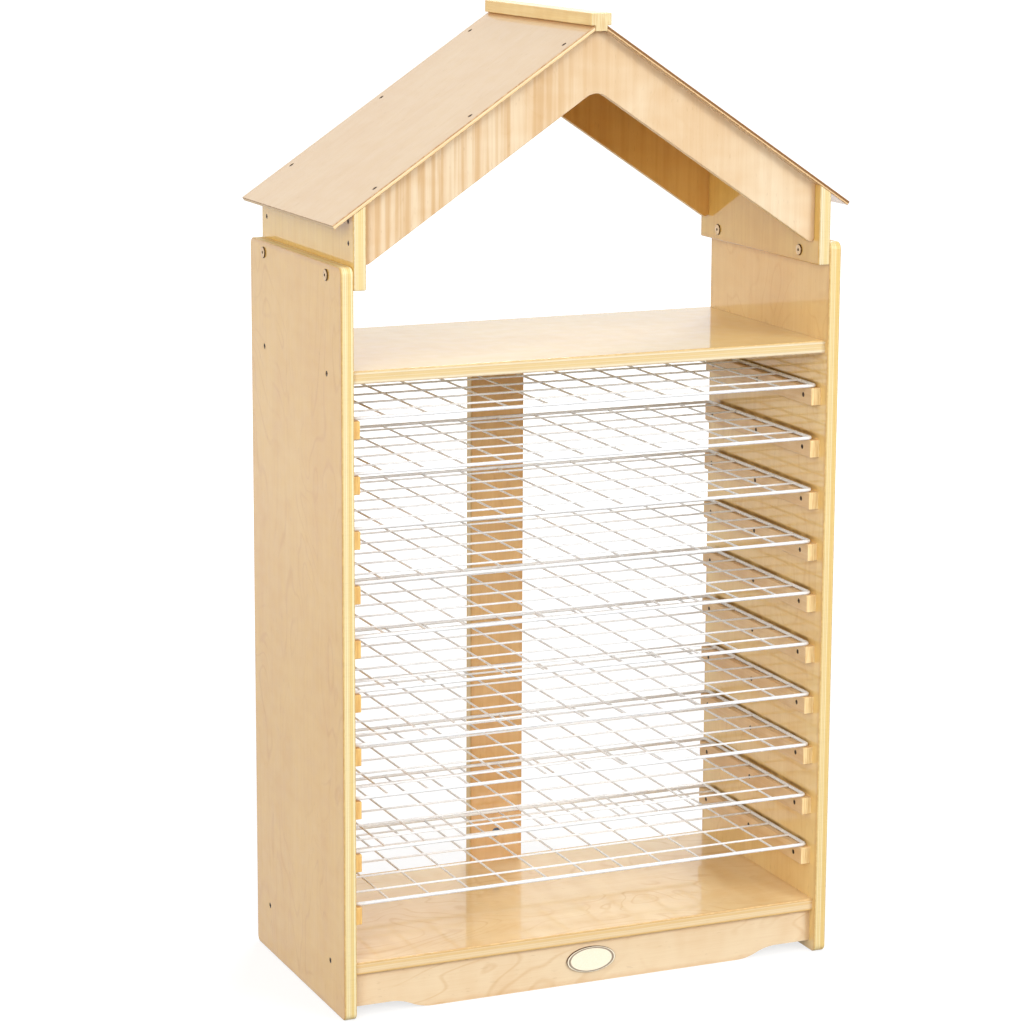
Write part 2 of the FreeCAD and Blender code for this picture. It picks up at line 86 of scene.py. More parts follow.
# ---- Colours ---------------------------------------------------------------------------------
def tint(red, green, blue):
    """A colour written as a screen shows it, from 0 to 255, in the linear values of a shader."""
    def linear(level):
        level /= 255
        return level / 12.92 if level <= 0.04045 else ((level + 0.055) / 1.055) ** 2.4
    return linear(red), linear(green), linear(blue), 1.0


PALE_BIRCH = tint(248, 226, 188)
DEEP_BIRCH = tint(233, 197, 148)
GROWTH_LINE = tint(212, 162, 94)
FIBRE_FLECK = tint(150, 98, 52)
EDGE_PALE = tint(253, 238, 200)
EDGE_GOLD = tint(240, 206, 130)
EDGE_DARK = tint(216, 168, 98)
GLUE_LINE = tint(150, 100, 52)
# the darker colour a board's face takes within a few millimetres of its outline
RIM_DARK = tint(206, 150, 84)
# the colour of the painted shade beside the racks
RACK_SHADOW_COLOUR = tint(112, 70, 32)
DARK_PLY_AND_SHADE = tint(122, 80, 40)          # darker outer plies, and painted shade along the roof panels' front edges
# painted shade and dark reflection for the rims of plated heads
RIM_SHADE = tint(74, 52, 32)
BRONZE = (tint(58, 40, 26), tint(96, 72, 52))           # dark and light
BRASS = (tint(190, 160, 122), tint(214, 184, 146))
BLUED_STEEL = (tint(62, 72, 88), tint(92, 102, 118))
COAT_WHITE = tint(236, 237, 238)
COAT_DUSTY = tint(206, 206, 204)
BEECH_PALE = tint(222, 178, 132)
BEECH_DEEP = tint(198, 148, 100)
CREAM = tint(252, 243, 220)
CREAM_DEEP = tint(240, 219, 180)
SCORCHED = tint(112, 72, 38)
CHARRED = tint(66, 38, 18)
# Solid birch: its sides pale and deep, and its sawn ends pale and deep.
RIGHT_RAIL = (tint(240, 208, 158), tint(222, 176, 118), tint(252, 226, 170), tint(226, 180, 118))
# The left rails are the same birch, made deeper and more amber: painted shade beside the left panel.
SHADED_LEFT_RAIL = (tint(240, 196, 128), tint(222, 168, 98), tint(252, 212, 132), tint(226, 172, 96))
RIDGE_CAP = (tint(255, 222, 148), tint(241, 195, 116), tint(226, 208, 160), tint(207, 167, 108))


# ---- Shader nodes in short -------------------------------------------------------------------
def put(tree, socket, value):
    """Links a socket to another node's output, or gives it a plain value."""
    if isinstance(value, bpy.types.NodeSocket):
        tree.links.new(value, socket)
    else:
        socket.default_value = value


def node(tree, kind, inputs=None, **settings):
    made = tree.nodes.new(kind)
    for name, value in settings.items():
        setattr(made, name, value)
    for name, value in (inputs or {}).items():
        put(tree, made.inputs[name], value)
    return made


def reckoned(tree, operation, *values):
    """A sum, product or other operation on numbers."""
    made = tree.nodes.new("ShaderNodeMath")
    made.operation = operation
    for socket, value in zip(made.inputs, values):
        put(tree, socket, value)
    return made.outputs[0]


def product(tree, *values):
    """All the numbers multiplied together."""
    total = values[0]
    for value in values[1:]:
        total = reckoned(tree, "MULTIPLY", total, value)
    return total


def turned(tree, operation, *values):
    """An operation on vectors."""
    made = tree.nodes.new("ShaderNodeVectorMath")
    made.operation = operation
    for socket, value in zip(made.inputs, values):
        put(tree, socket, value)
    return made.outputs["Value" if operation in ("DOT_PRODUCT", "LENGTH") else "Vector"]


def ranged(tree, value, low, high, start=0.0, end=1.0):
    """A number carried from between low and high to between start and end, smoothly."""
    made = node(tree, "ShaderNodeMapRange", interpolation_type="SMOOTHSTEP")
    wanted = (("Value", value), ("From Min", low), ("From Max", high), ("To Min", start), ("To Max", end))
    for name, given in wanted:
        put(tree, made.inputs[name], given)
    return made.outputs["Result"]


def mixed(tree, share, first, second, way="MIX"):
    """Two colours mixed, with the share of the second."""
    made = tree.nodes.new("ShaderNodeMix")
    made.data_type = "RGBA"
    made.blend_type = way
    for place, value in ((0, share), (6, first), (7, second)):
        put(tree, made.inputs[place], value)
    return made.outputs[2]


def blended(tree, share, first, second):
    """Two numbers mixed, with the share of the second."""
    made = tree.nodes.new("ShaderNodeMix")
    for place, value in ((0, share), (2, first), (3, second)):
        put(tree, made.inputs[place], value)
    return made.outputs[0]


def noise(tree, place, stretch, detail=2.0, roughness=0.5, distortion=0.0):
    """Soft noise in a space stretched along its axes, in repeats to the metre."""
    scaled = turned(tree, "MULTIPLY", place, stretch)
    made = node(tree, "ShaderNodeTexNoise", {
        "Vector": scaled, "Scale": 1.0, "Detail": detail, "Roughness": roughness, "Distortion": distortion})
    return made.outputs["Fac"]


def split(tree, vector):
    return node(tree, "ShaderNodeSeparateXYZ", {"Vector": vector}).outputs


def joined(tree, x, y, z):
    return node(tree, "ShaderNodeCombineXYZ", {"X": x, "Y": y, "Z": z}).outputs[0]


def new_group(name, inputs, outputs):
    """A node group, with its inputs as (name, kind, value) and its outputs as (name, kind)."""
    group = bpy.data.node_groups.new(name, "ShaderNodeTree")
    for label, kind, value in inputs:
        socket = group.interface.new_socket(label, in_out="INPUT", socket_type="NodeSocket" + kind)
        socket.default_value = value
    for label, kind in outputs:
        group.interface.new_socket(label, in_out="OUTPUT", socket_type="NodeSocket" + kind)
    return group, group.nodes.new("NodeGroupInput").outputs, group.nodes.new("NodeGroupOutput").inputs


def placed(tree, group, inputs):
    """A group in a tree, with this use's own values."""
    made = tree.nodes.new("ShaderNodeGroup")
    made.node_tree = group
    for name, value in inputs.items():
        put(tree, made.inputs[name], value)
    return made.outputs


# ---- Effects that several finishes share -----------------------------------------------------
HOW_A_BOARD_LIES = [
    ("Place", "Vector", (0, 0, 0)),
    ("Normal", "Vector", (0, 0, 1)),
    ("Through", "Vector", (0, 0, 1)),
    ("Grain", "Vector", (1, 0, 0)),
    ("Low corner", "Vector", (0, 0, 0)),
    ("High corner", "Vector", (1, 1, 1)),
    ("Start", "Float", 0.0),
    ("Thickness", "Float", 0.018),
    ("Seed", "Float", 0.0),
]


def board_space_group():
    """Turns a point into a board's own space: across the grain, along it, and through the plies."""
    group, given, result = new_group("Board space", HOW_A_BOARD_LIES, [
        ("Place", "Vector"), ("Depth", "Float"), ("Edge", "Float"), ("Arris", "Float"), ("Inset", "Float")])
    across = turned(group, "CROSS_PRODUCT", given["Through"], given["Grain"])
    along = turned(group, "DOT_PRODUCT", given["Place"], given["Grain"])
    through = turned(group, "DOT_PRODUCT", given["Place"], given["Through"])
    sideways = reckoned(group, "ADD", turned(group, "DOT_PRODUCT", given["Place"], across), given["Seed"])
    shifted = reckoned(group, "MULTIPLY_ADD", given["Seed"], 3.7, along)
    put(group, result["Place"], joined(group, sideways, shifted, through))
    put(group, result["Depth"], reckoned(
        group, "DIVIDE", reckoned(group, "SUBTRACT", through, given["Start"]), given["Thickness"]))
    facing = reckoned(group, "ABSOLUTE", turned(group, "DOT_PRODUCT", given["Normal"], given["Through"]))
    put(group, result["Edge"], ranged(group, facing, 0.45, 0.8, 1.0, 0.0))
    off_face = ranged(group, facing, 0.9, 0.995, 1.0, 0.0)
    put(group, result["Arris"], product(group, off_face, ranged(group, facing, 0.005, 0.3)))
    # Metres to the outline of the board's face: the way through the board is put out of reach.
    flat = turned(group, "MULTIPLY", turned(group, "ABSOLUTE", given["Through"]), (9.0, 9.0, 9.0))
    after = turned(group, "SUBTRACT", given["Place"], given["Low corner"])
    before = turned(group, "SUBTRACT", given["High corner"], given["Place"])
    nearest = split(group, turned(group, "ADD", turned(group, "MINIMUM", after, before), flat))
    inset = reckoned(group, "MINIMUM", reckoned(group, "MINIMUM", nearest["X"], nearest["Y"]), nearest["Z"])
    put(group, result["Inset"], inset)
    return group


def birch_figure_group():
    """The markings of birch veneer, each as a mask: growth lines, fibre, soft mottle and short flecks."""
    group, given, result = new_group("Birch figure", [
        ("Place", "Vector", (0, 0, 0)), ("Lines", "Float", 12.0), ("Swirl", "Float", 0.5),
        ("Calm from", "Float", NEVER_CALM)],
        [("Growth", "Float"), ("Fibre", "Float"), ("Mottle", "Float"), ("Fleck", "Float")])
    place = given["Place"]
    hill = noise(group, place, HILLS, detail=2.0, roughness=0.5, distortion=0.7)
    wave = reckoned(group, "PINGPONG", product(group, hill, given["Lines"]), 0.5)
    faded = ranged(group, noise(group, place, ARC_BREAKS, detail=3.0), 0.4, 0.6)
    arc = product(group, ranged(group, wave, 0.36, 0.5), faded)
    streak = ranged(group, noise(group, place, STREAKS, detail=2.0, roughness=0.6), 0.38, 0.64)
    past = reckoned(group, "SUBTRACT", split(group, place)["X"], given["Calm from"])
    streak = product(group, streak, ranged(group, past, -0.12, 0.12, 1.0, 0.2))
    put(group, result["Growth"], blended(group, given["Swirl"], streak, arc))
    fibre = noise(group, place, FIBRES, detail=3.0, roughness=0.6)
    put(group, result["Fibre"], ranged(group, fibre, 0.3, 0.7))
    cloud = noise(group, place, CLOUDS, detail=3.0, roughness=0.55, distortion=0.7)
    curl = noise(group, place, CURLS, detail=1.0)
    mottle = blended(group, 0.3, cloud, curl)
    put(group, result["Mottle"], ranged(group, mottle, 0.34, 0.66))
    fleck = noise(group, place, FLECKS, detail=1.0)
    put(group, result["Fleck"], ranged(group, fleck, 0.69, 0.76))
    return group


def ply_lines_group():
    """The layers of veneer that show on a board's edge, the glue lines between, and broad bands of tone."""
    group, given, result = new_group("Ply lines", [
        ("Place", "Vector", (0, 0, 0)), ("Depth", "Float", 0.0), ("Plies", "Float", THICK_BOARD_PLIES),
        ("Seed", "Float", 0.0)],
        [("Dark ply", "Float"), ("Glue", "Float"), ("Band", "Float")])
    waver = reckoned(group, "MULTIPLY_ADD", noise(group, given["Place"], (5.0, 5.0, 0.0)), 0.16, -0.08)
    layer = reckoned(group, "MULTIPLY_ADD", given["Depth"], given["Plies"], waver)
    number = reckoned(group, "FLOOR", layer)
    spread = reckoned(group, "MULTIPLY_ADD", number, 7.31, given["Seed"])
    own = node(group, "ShaderNodeTexWhiteNoise", {"W": spread}, noise_dimensions="1D").outputs["Value"]
    crossing = reckoned(group, "PINGPONG", number, 1.0)
    put(group, result["Dark ply"], product(group, crossing, reckoned(group, "MULTIPLY_ADD", own, 0.7, 0.3)))
    near = reckoned(group, "ABSOLUTE", reckoned(group, "SUBTRACT", reckoned(group, "FRACT", layer), 0.5))
    broken = ranged(group, noise(group, given["Place"], (30.0, 30.0, 900.0)), 0.45, 0.75)
    put(group, result["Glue"], product(group, ranged(group, near, 0.4, 0.5), broken))
    deep = joined(group, product(group, given["Depth"], 3.4), given["Seed"], 0.0)
    put(group, result["Band"], ranged(group, noise(group, deep, (1.0, 1.0, 1.0), detail=1.0), 0.4, 0.6))
    return group


def birch_board_group(board_space, birch_figure, ply_lines):
    """Lacquered birch plywood: figured faces, layered edges, arrises and a rim darker near the outline."""
    group, given, result = new_group("Birch board", HOW_A_BOARD_LIES + [
        ("Plies", "Float", THICK_BOARD_PLIES), ("Swirl", "Float", 0.5), ("Figure", "Float", 0.5),
        ("Calm from", "Float", NEVER_CALM), ("Border", "Float", 0.3), ("Rim", "Float", 0.3),
        ("Tone", "Color", (1, 1, 1, 1)), ("Edge tone", "Color", (1, 1, 1, 1)), ("Plies and shade", "Float", 0.0),
        ("Dark from", "Float", 0.8)],
        [("Color", "Color"), ("Roughness", "Float"), ("Height", "Float"), ("Coat", "Float")])
    space = placed(group, board_space, {name: given[name] for name, _, _ in HOW_A_BOARD_LIES})
    figure = placed(group, birch_figure, {
        "Place": space["Place"], "Swirl": given["Swirl"], "Calm from": given["Calm from"]})
    plies = placed(group, ply_lines, {
        "Place": given["Place"], "Depth": space["Depth"], "Plies": given["Plies"], "Seed": given["Seed"]})

    cloudy = reckoned(group, "MULTIPLY_ADD", given["Figure"], 0.7, 0.25)
    face = mixed(group, product(group, figure["Mottle"], cloudy), PALE_BIRCH, DEEP_BIRCH)
    face = mixed(group, product(group, figure["Growth"], given["Figure"]), face, GROWTH_LINE)
    face = mixed(group, product(group, figure["Fibre"], 0.09), face, GROWTH_LINE)
    face = mixed(group, product(group, figure["Fleck"], 0.12), face, FIBRE_FLECK)
    face = mixed(group, 1.0, face, given["Tone"], "MULTIPLY")
    # Darker within a few millimetres of the face's outline, along a wandering line.
    wander = noise(group, given["Place"], (30.0, 30.0, 30.0), detail=3.0)
    from_rim = reckoned(group, "MULTIPLY_ADD", wander, -0.012, space["Inset"])
    near_outline = ranged(group, from_rim, -0.005, 0.003, 1.0, 0.0)
    face = mixed(group, product(group, near_outline, given["Rim"]), face, RIM_DARK)

    edge = mixed(group, product(group, plies["Band"], 0.7), EDGE_PALE, EDGE_GOLD)
    edge = mixed(group, product(group, plies["Dark ply"], 0.4), edge, EDGE_DARK)
    edge = mixed(group, product(group, figure["Fibre"], 0.12), edge, EDGE_DARK)
    edge = mixed(group, product(group, plies["Glue"], 0.5), edge, GLUE_LINE)
    edge = mixed(group, 1.0, edge, given["Edge tone"], "MULTIPLY")
    # Darker plies on the edge, partly painted shade: a band from a given depth up to the face, which on the
    # right roof panel paints shade over most of its front edge, and a line along the lowest plies, which
    # paints the shadow under the edge.
    plain_to = reckoned(group, "SUBTRACT", given["Dark from"], 0.08)
    upper = ranged(group, space["Depth"], plain_to, given["Dark from"])
    lower = ranged(group, space["Depth"], 0.06, 0.16, 0.8, 0.0)
    darkened_plies = product(group, reckoned(group, "MAXIMUM", upper, lower), given["Plies and shade"])
    edge = mixed(group, darkened_plies, edge, DARK_PLY_AND_SHADE)
    colour = mixed(group, space["Edge"], face, edge)
    dots = noise(group, given["Place"], (140.0, 140.0, 140.0), detail=2.0)
    dotted = ranged(group, dots, 0.38, 0.6, 0.25, 1.0)
    border = product(group, space["Arris"], given["Border"], dotted)
    put(group, result["Color"], mixed(group, border, colour, GLUE_LINE))

    wear = noise(group, given["Place"], (40.0, 40.0, 40.0), detail=4.0)
    rough = ranged(group, wear, 0.3, 0.7, 0.34, 0.46)
    put(group, result["Roughness"], reckoned(group, "MULTIPLY_ADD", space["Edge"], 0.14, rough))
    grain = reckoned(group, "MULTIPLY_ADD", figure["Growth"], -0.3, figure["Fibre"])
    layered = product(group, plies["Glue"], space["Edge"], -1.5)
    put(group, result["Height"], reckoned(group, "ADD", grain, layered))
    put(group, result["Coat"], reckoned(group, "MULTIPLY_ADD", space["Edge"], -0.85, 1.0))
    return group


# ---- Finishes --------------------------------------------------------------------------------
def new_material(name):
    """A material with its tree emptied but for the shader and the output, and the two returned."""
    material = bpy.data.materials.new(name)
    material.use_nodes = True
    tree = material.node_tree
    tree.nodes.clear()
    shader = tree.nodes.new("ShaderNodeBsdfPrincipled")
    output = tree.nodes.new("ShaderNodeOutputMaterial")
    tree.links.new(shader.outputs[0], output.inputs["Surface"])
    return material, tree, shader


def coordinates(tree):
    return tree.nodes.new("ShaderNodeTexCoord").outputs


def bumped(tree, shader, height, depth):
    """Gives the shader relief of a depth in metres."""
    bump = node(tree, "ShaderNodeBump", {"Height": height, "Distance": depth, "Strength": 1.0})
    tree.links.new(bump.outputs["Normal"], shader.inputs["Normal"])


def give(material, *names):
    """Puts a material on CAD nodes."""
    for name in names:
        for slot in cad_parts[name].material_slots:
            slot.material = material


def broad_side(mesh):
    """The direction that a board is thinnest in, found from its widest faces, and its two ends there."""
    areas = {}
    for face in mesh.polygons:
        way = face.normal if max(face.normal, key=abs) > 0 else -face.normal
        key = tuple(round(part, 3) for part in way)
        areas[key] = areas.get(key, 0.0) + face.area
    through = Vector(max(areas, key=areas.get)).normalized()
    ends = [vertex.co.dot(through) for vertex in mesh.vertices]
    return through, min(ends), max(ends)


def with_rack_shadows(tree, at, colour, rack_shadows):
    """Paints shade on a board in bands beside the racks that lie along it, each rack given as its lowest and
    its highest corner.
    """
    if not rack_shadows:
        return colour
    reach = split(tree, at["Object"])
    marks = 0.0
    for low, high in rack_shadows:
        above = ranged(tree, reach["Z"], low[2], low[2] + RACK_SHADOW_FADE)
        below = ranged(tree, reach["Z"], high[2], high[2] + RACK_SHADOW_FADE, 1.0, 0.0)
        marks = reckoned(tree, "MAXIMUM", marks, product(tree, above, below))
    (left, front, _), (right, back, _) = rack_shadows[0]
    between = product(
        tree,
        ranged(tree, reach["Y"], front - RACK_SHADOW_LEAD, front + RACK_SHADOW_TAPER),
        ranged(tree, reach["Y"], back - RACK_SHADOW_TAPER, back, 1.0, 0.0),
        ranged(tree, reach["X"], left - RACK_SHADOW_GONE, left - RACK_SHADOW_FULL),
        ranged(tree, reach["X"], right + RACK_SHADOW_FULL, right + RACK_SHADOW_GONE, 1.0, 0.0))
    patchy = ranged(tree, noise(tree, at["Object"], (60.0, 30.0, 60.0), detail=3.0), 0.3, 0.6, 0.45, 1.0)
    # painted shade of the racks on the panel
    return mixed(tree, product(tree, marks, between, patchy, RACK_SHADOW_STRENGTH), colour, RACK_SHADOW_COLOUR)


def birch_board(name, seed, grain, tone, edge=(1, 1, 1), figure=0.35, swirl=0.4, border=0.25, rim=0.25,
                plies_and_shade=0.0, stained_from=0.8, calm_from=NEVER_CALM, rack_shadows=()):
    """Lacquered birch plywood for one board, with its own stretch of veneer."""
    through, low, high = broad_side(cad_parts[name].data)
    along = (grain - through * grain.dot(through)).normalized()
    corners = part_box(name)
    material, tree, shader = new_material(name.replace("_", " ").capitalize())
    at = coordinates(tree)
    look = placed(tree, groups["board"], {
        "Place": at["Object"], "Normal": at["Normal"], "Through": through, "Grain": along,
        "Low corner": corners[0], "High corner": corners[1], "Start": low, "Thickness": high - low,
        "Seed": seed, "Swirl": swirl, "Figure": figure, "Calm from": seed + calm_from, "Border": border,
        "Rim": rim, "Tone": (*tone, 1), "Edge tone": (*edge, 1), "Plies and shade": plies_and_shade, "Dark from": stained_from,
        "Plies": THIN_BOARD_PLIES if high - low < THIN_BOARD else THICK_BOARD_PLIES})
    tree.links.new(with_rack_shadows(tree, at, look["Color"], rack_shadows), shader.inputs["Base Color"])
    tree.links.new(look["Roughness"], shader.inputs["Roughness"])
    shader.inputs["Specular IOR Level"].default_value = BARE_WOOD_GLOSS
    tree.links.new(look["Coat"], shader.inputs["Coat Weight"])
    shader.inputs["Coat Roughness"].default_value = LACQUER_ROUGHNESS
    bumped(tree, shader, look["Height"], GRAIN_RELIEF)
    give(material, name)


def solid_birch(name, side_pale, side_deep, end_pale, end_deep):
    """Solid birch with its grain along Y: long fibre on the sides, and growth rings on the sawn ends."""
    material, tree, shader = new_material(name)
    at = coordinates(tree)
    parts = split(tree, at["Object"])
    figure = placed(tree, groups["figure"], {
        "Place": joined(tree, parts["Z"], parts["Y"], parts["X"]), "Lines": 60.0, "Swirl": 0.2})
    facing = reckoned(tree, "ABSOLUTE", turned(tree, "DOT_PRODUCT", at["Normal"], INWARD))
    side = mixed(tree, product(tree, figure["Mottle"], 0.6), side_pale, side_deep)
    side = mixed(tree, product(tree, figure["Growth"], 0.3), side, GROWTH_LINE)
    side = mixed(tree, product(tree, figure["Fibre"], 0.18), side, GROWTH_LINE)
    rings = noise(tree, at["Object"], (520.0, 1.0, 40.0), detail=2.0)
    sawn = mixed(tree, ranged(tree, rings, 0.35, 0.7, 0.0, 0.6), end_pale, end_deep)
    colour = mixed(tree, ranged(tree, facing, 0.5, 0.9), side, sawn)
    tree.links.new(colour, shader.inputs["Base Color"])
    tree.links.new(ranged(tree, figure["Fibre"], 0.0, 1.0, 0.42, 0.55), shader.inputs["Roughness"])
    shader.inputs["Specular IOR Level"].default_value = 0.2
    shader.inputs["Coat Weight"].default_value = 0.5
    shader.inputs["Coat Roughness"].default_value = 0.2
    bumped(tree, shader, figure["Fibre"], 0.00005)
    return material


def coated_wire():
    """White powder coat over steel wire, a little uneven, as it flows in the oven."""
    material, tree, shader = new_material("Coated wire")
    at = coordinates(tree)
    flow = noise(tree, at["Object"], (260.0, 260.0, 260.0), detail=2.0)
    dust = noise(tree, at["Object"], (24.0, 24.0, 60.0), detail=4.0, roughness=0.7)
    shade = mixed(tree, ranged(tree, dust, 0.45, 0.8, 0.0, 0.5), COAT_WHITE, COAT_DUSTY)
    tree.links.new(shade, shader.inputs["Base Color"])
    tree.links.new(ranged(tree, flow, 0.3, 0.7, 0.2, 0.32), shader.inputs["Roughness"])
    bumped(tree, shader, flow, 0.00006)
    return material


def plated(name, dark, light, rough, scale, rim_shade=0.0):
    """Plated steel: a little cloudy, with fine scratches in the polish, and perhaps a painted dark rim that
    stands in for the shade and dark reflection round a head.
    """
    material, tree, shader = new_material(name)
    at = coordinates(tree)
    cloud = noise(tree, at["Object"], (scale, scale, scale), detail=3.0)
    scratch = noise(tree, at["Object"], (1800.0, 260.0, 1800.0), detail=2.0)
    polished = mixed(tree, ranged(tree, cloud, 0.3, 0.7), dark, light)
    flat = reckoned(tree, "ABSOLUTE", turned(tree, "DOT_PRODUCT", at["Normal"], LENGTHWISE))
    # Painted shade: the rim of a head, off its flat face, darkened.
    rim = ranged(tree, flat, 0.75, 0.97, rim_shade, 0.0)
    tree.links.new(mixed(tree, rim, polished, RIM_SHADE), shader.inputs["Base Color"])
    spread = reckoned(tree, "MULTIPLY_ADD", scratch, 0.18, rough)
    tree.links.new(spread, shader.inputs["Roughness"])
    shader.inputs["Metallic"].default_value = 1.0
    bumped(tree, shader, scratch, 0.00002)
    return material


def dowel_wood():
    """Beech with its short flecks, for the hidden dowels."""
    material, tree, shader = new_material("Dowel wood")
    parts = split(tree, coordinates(tree)["Object"])
    figure = placed(tree, groups["figure"], {
        "Place": joined(tree, parts["X"], parts["Z"], parts["Y"]), "Lines": 120.0})
    shade = mixed(tree, figure["Fibre"], BEECH_PALE, BEECH_DEEP)
    tree.links.new(mixed(tree, figure["Fleck"], shade, FIBRE_FLECK), shader.inputs["Base Color"])
    tree.links.new(ranged(tree, figure["Fibre"], 0.0, 1.0, 0.55, 0.7), shader.inputs["Roughness"])
    bumped(tree, shader, figure["Fibre"], 0.00004)
    return material


def plaque_wood():
    """Cream painted face on thin plywood, with a scorched line round it and a scorched cut edge."""
    material, tree, shader = new_material("Plaque wood")
    at = coordinates(tree)
    low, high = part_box("plaque")
    middle = [(a + b) / 2 for a, b in zip(low, high)]
    reach = [2 / (b - a) for a, b in zip(low, high)]
    centred = turned(tree, "SUBTRACT", at["Object"], middle)
    flat = turned(tree, "MULTIPLY", centred, (reach[0], 0.0, reach[2]))
    soot = noise(tree, at["Object"], (180.0, 180.0, 180.0), detail=3.0)
    radius = reckoned(tree, "MULTIPLY_ADD", soot, 0.02, turned(tree, "LENGTH", flat))
    ring = product(tree, ranged(tree, radius, 0.84, 0.89), ranged(tree, radius, 0.93, 0.97, 1.0, 0.0))
    figure = placed(tree, groups["figure"], {"Place": at["Object"], "Lines": 40.0})
    cream = mixed(tree, product(tree, figure["Fibre"], 0.25), CREAM, CREAM_DEEP)
    scorched = mixed(tree, soot, SCORCHED, CHARRED)
    face = mixed(tree, product(tree, ring, 0.8), cream, scorched)
    front = ranged(tree, turned(tree, "DOT_PRODUCT", at["Normal"], -INWARD), 0.8, 0.95)
    tree.links.new(mixed(tree, front, scorched, face), shader.inputs["Base Color"])
    tree.links.new(ranged(tree, soot, 0.3, 0.7, 0.4, 0.55), shader.inputs["Roughness"])
    bumped(tree, shader, figure["Fibre"], 0.00003)
    return material


def numbered(stem):
    """The names of one kind of piece at all the racks, from the top."""
    return [stem + number for number in RACK_NUMBERS]


board_space = board_space_group()
birch_figure = birch_figure_group()
groups = {"figure": birch_figure, "board": birch_board_group(board_space, birch_figure, ply_lines_group())}

rack_edges = [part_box(name) for name in numbered("rack_")]
# Both side panels carry painted shade in bands beside the racks.
# Each board's tone holds painted shade as well as its own colour: the back gable and the back post, deep in
# shade, are much darker and more amber than the front gable and the plinths; the side panels and eave boards,
# which face away from the lamps or sit under the roof, are more amber; and the roof panels are darker.
birch_board("left_side_panel", 1.3, UPRIGHT, tone=(0.9, 0.67, 0.25), edge=(0.9, 0.92, 0.83),
            figure=0.3, swirl=0.8, rim=0.5, rack_shadows=rack_edges)
birch_board("right_side_panel", 4.9, UPRIGHT, tone=(1, 0.89, 0.545), edge=(0.87, 0.84, 0.69),
            figure=0.25, swirl=0.7, rim=0.4, rack_shadows=rack_edges)
birch_board("base_shelf", 7.7, LENGTHWISE, tone=(0.95, 0.89, 0.715), edge=(0.84, 0.76, 0.69),
            figure=0.38, swirl=0.9)
birch_board("top_shelf", 11.2, LENGTHWISE, tone=(0.98, 0.93, 0.615), edge=(0.85, 0.87, 0.95),
            figure=0.12, swirl=0.6)
birch_board("front_plinth", 14.6, LENGTHWISE, tone=(0.89, 0.86, 0.84), figure=0.28, swirl=0.95)
birch_board("rear_plinth", 17.1, LENGTHWISE, tone=(0.89, 0.86, 0.84), figure=0.28, swirl=0.9)
birch_board("back_post", 20.4, UPRIGHT, tone=(0.8, 0.63, 0.41), figure=0.25, swirl=0.5)
birch_board("left_eave_board", 23.5, UPRIGHT, tone=(0.97, 0.82, 0.36), edge=(0.91, 0.97, 1),
            figure=0.2, swirl=0.3)
birch_board("right_eave_board", 26.3, UPRIGHT, tone=(0.9, 0.78, 0.36), edge=(0.88, 0.94, 1),
            figure=0.2, swirl=0.3)
birch_board("front_gable", 31.3, UPRIGHT, tone=(0.885, 0.885, 0.93),
            figure=0.63, swirl=0.1, calm_from=-0.05)
birch_board("back_gable", 32.2, UPRIGHT, tone=(0.8, 0.62, 0.29), figure=0.35, swirl=0.3)
# The roof panels' edges carry painted shade: the line along their lowest plies, and the dark upper half of
# the right panel's front edge.
birch_board("left_roof_panel", 35.8, LENGTHWISE, tone=(0.85, 0.75, 0.645), edge=(0.95, 0.87, 0.85),
            figure=0.05, border=0.8, plies_and_shade=0.5, stained_from=0.82)
birch_board("right_roof_panel", 38.1, LENGTHWISE, tone=(0.85, 0.75, 0.645), edge=(0.9, 0.8, 0.8),
            figure=0.05, border=0.8, plies_and_shade=0.9, stained_from=0.45)

give(solid_birch("Right rail wood", *RIGHT_RAIL), *numbered("right_rail_"))
give(solid_birch("Left rail wood in painted shade", *SHADED_LEFT_RAIL), *numbered("left_rail_"))
give(solid_birch("Ridge cap wood", *RIDGE_CAP), "ridge_cap")
give(coated_wire(), *numbered("rack_"))
give(plated("Bronzed screw", *BRONZE, rough=0.3, scale=300.0),
     "left_rail_screws", "right_rail_screws", "shelf_screws", "gable_screws", "roof_screws")
# The bolts and nuts get the painted dark rim.
give(plated("Brassed fitting", *BRASS, rough=0.2, scale=160.0, rim_shade=0.92),
     "eave_bolts", "eave_sleeve_nuts", "post_bolt")
give(plated("Blued barrel nut", *BLUED_STEEL, rough=0.25, scale=160.0), "post_barrel_nut")
give(dowel_wood(), "plinth_dowels", "post_dowels", "ridge_dowels")
give(plaque_wood(), "plaque")


# ---- Studio ----------------------------------------------------------------------------------
def backdrop_share(tree, way_forward, dark_from, dark_to):
    """Whether a ray sees the backdrop, and how white it is: white, but for polish that mirrors the dark
    room in front. The light that falls on the object sees nothing of it."""
    path = tree.nodes.new("ShaderNodeLightPath").outputs
    seen = reckoned(tree, "MAXIMUM", path["Is Camera Ray"], path["Is Glossy Ray"])
    seen = reckoned(tree, "MAXIMUM", seen, path["Is Transmission Ray"])
    room = ranged(tree, way_forward, dark_from, dark_to, 0.0, 1.0 - DARK_FRONT)
    return seen, reckoned(tree, "SUBTRACT", 1.0, product(tree, room, path["Is Glossy Ray"]))


def studio_world():
    world = bpy.data.worlds.new("Studio")
    bpy.context.scene.world = world
    world.use_nodes = True
    tree = world.node_tree
    tree.nodes.clear()
    forward = turned(tree, "DOT_PRODUCT", coordinates(tree)["Generated"], -INWARD)
    seen, white = backdrop_share(tree, forward, *DARK_SKY)
    strength = product(tree, ranged(tree, seen, 0.0, 1.0, AMBIENT, 1.0), white)
    sky = node(tree, "ShaderNodeBackground", {"Color": (1, 1, 1, 1), "Strength": strength})
    output = tree.nodes.new("ShaderNodeOutputWorld")
    tree.links.new(sky.outputs[0], output.inputs["Surface"])


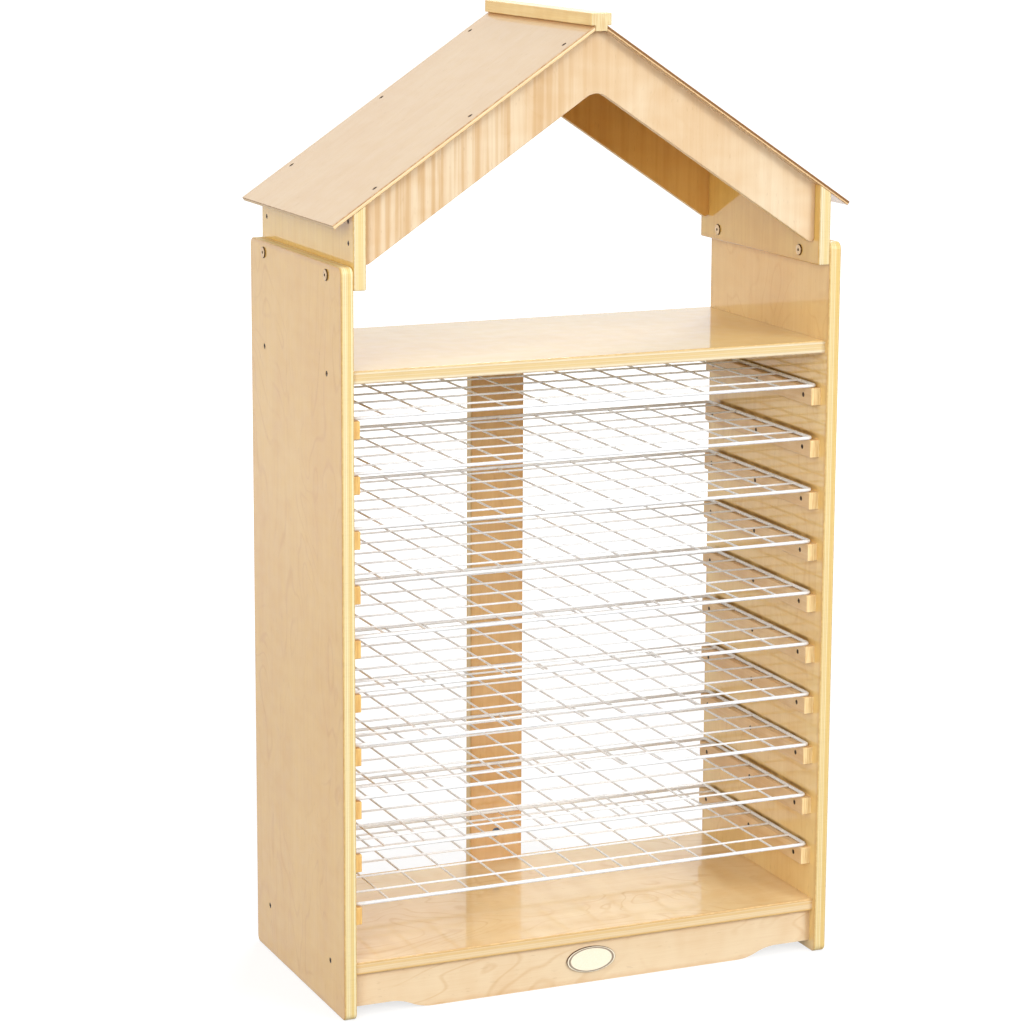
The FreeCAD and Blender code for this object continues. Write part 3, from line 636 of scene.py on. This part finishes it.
def studio_floor():
    """A wide pale floor that shows white to the camera and keeps the object's shadow."""
    shape = bmesh.new()
    bmesh.ops.create_grid(shape, x_segments=1, y_segments=1, size=FLOOR_REACH)
    mesh = bpy.data.meshes.new("floor")
    shape.to_mesh(mesh)
    shape.free()
    floor = bpy.data.objects.new("floor", mesh)
    bpy.context.scene.collection.objects.link(floor)
    material, tree, shader = new_material("Floor paper")
    shader.inputs["Base Color"].default_value = (FLOOR_SHADE, FLOOR_SHADE, FLOOR_SHADE, 1)
    shader.inputs["Roughness"].default_value = 0.9
    shader.inputs["Specular IOR Level"].default_value = 0.0
    place = coordinates(tree)["Object"]
    glow = ranged(tree, turned(tree, "LENGTH", place), FLOOR_NEAR, FLOOR_FAR, FLOOR_GLOW, 1.0)
    ahead = turned(tree, "DOT_PRODUCT", place, -INWARD)
    seen, white = backdrop_share(tree, ahead, *DARK_FLOOR)
    shader.inputs["Emission Color"].default_value = (1, 1, 1, 1)
    put(tree, shader.inputs["Emission Strength"], product(tree, seen, glow, white))
    mesh.materials.append(material)


def softbox(name, place, aim, size, power):
    light = bpy.data.lights.new(name, "AREA")
    light.shape = "RECTANGLE"
    light.size, light.size_y = size
    light.energy = power
    lamp = bpy.data.objects.new(name, light)
    lamp.location = place
    lamp.rotation_euler = (Vector(aim) - Vector(place)).to_track_quat("-Z", "Y").to_euler()
    bpy.context.scene.collection.objects.link(lamp)


def camera():
    data = bpy.data.cameras.new("camera")
    data.lens = CAMERA_LENS
    data.shift_x, data.shift_y = CAMERA_SHIFT
    data.clip_start, data.clip_end = 0.05, 100
    made = bpy.data.objects.new("camera", data)
    turn = Matrix.Rotation(-CAMERA_YAW, 4, "Z") @ Matrix.Rotation(math.pi / 2 - CAMERA_PITCH, 4, "X")
    made.matrix_world = Matrix.Translation(CAMERA_PLACE) @ turn @ Matrix.Rotation(CAMERA_ROLL, 4, "Z")
    bpy.context.scene.collection.objects.link(made)
    bpy.context.scene.camera = made


studio_world()
studio_floor()
for name, values in SOFTBOXES.items():
    softbox(name, *values)
camera()
bpy.context.scene.view_settings.view_transform = "Standard"
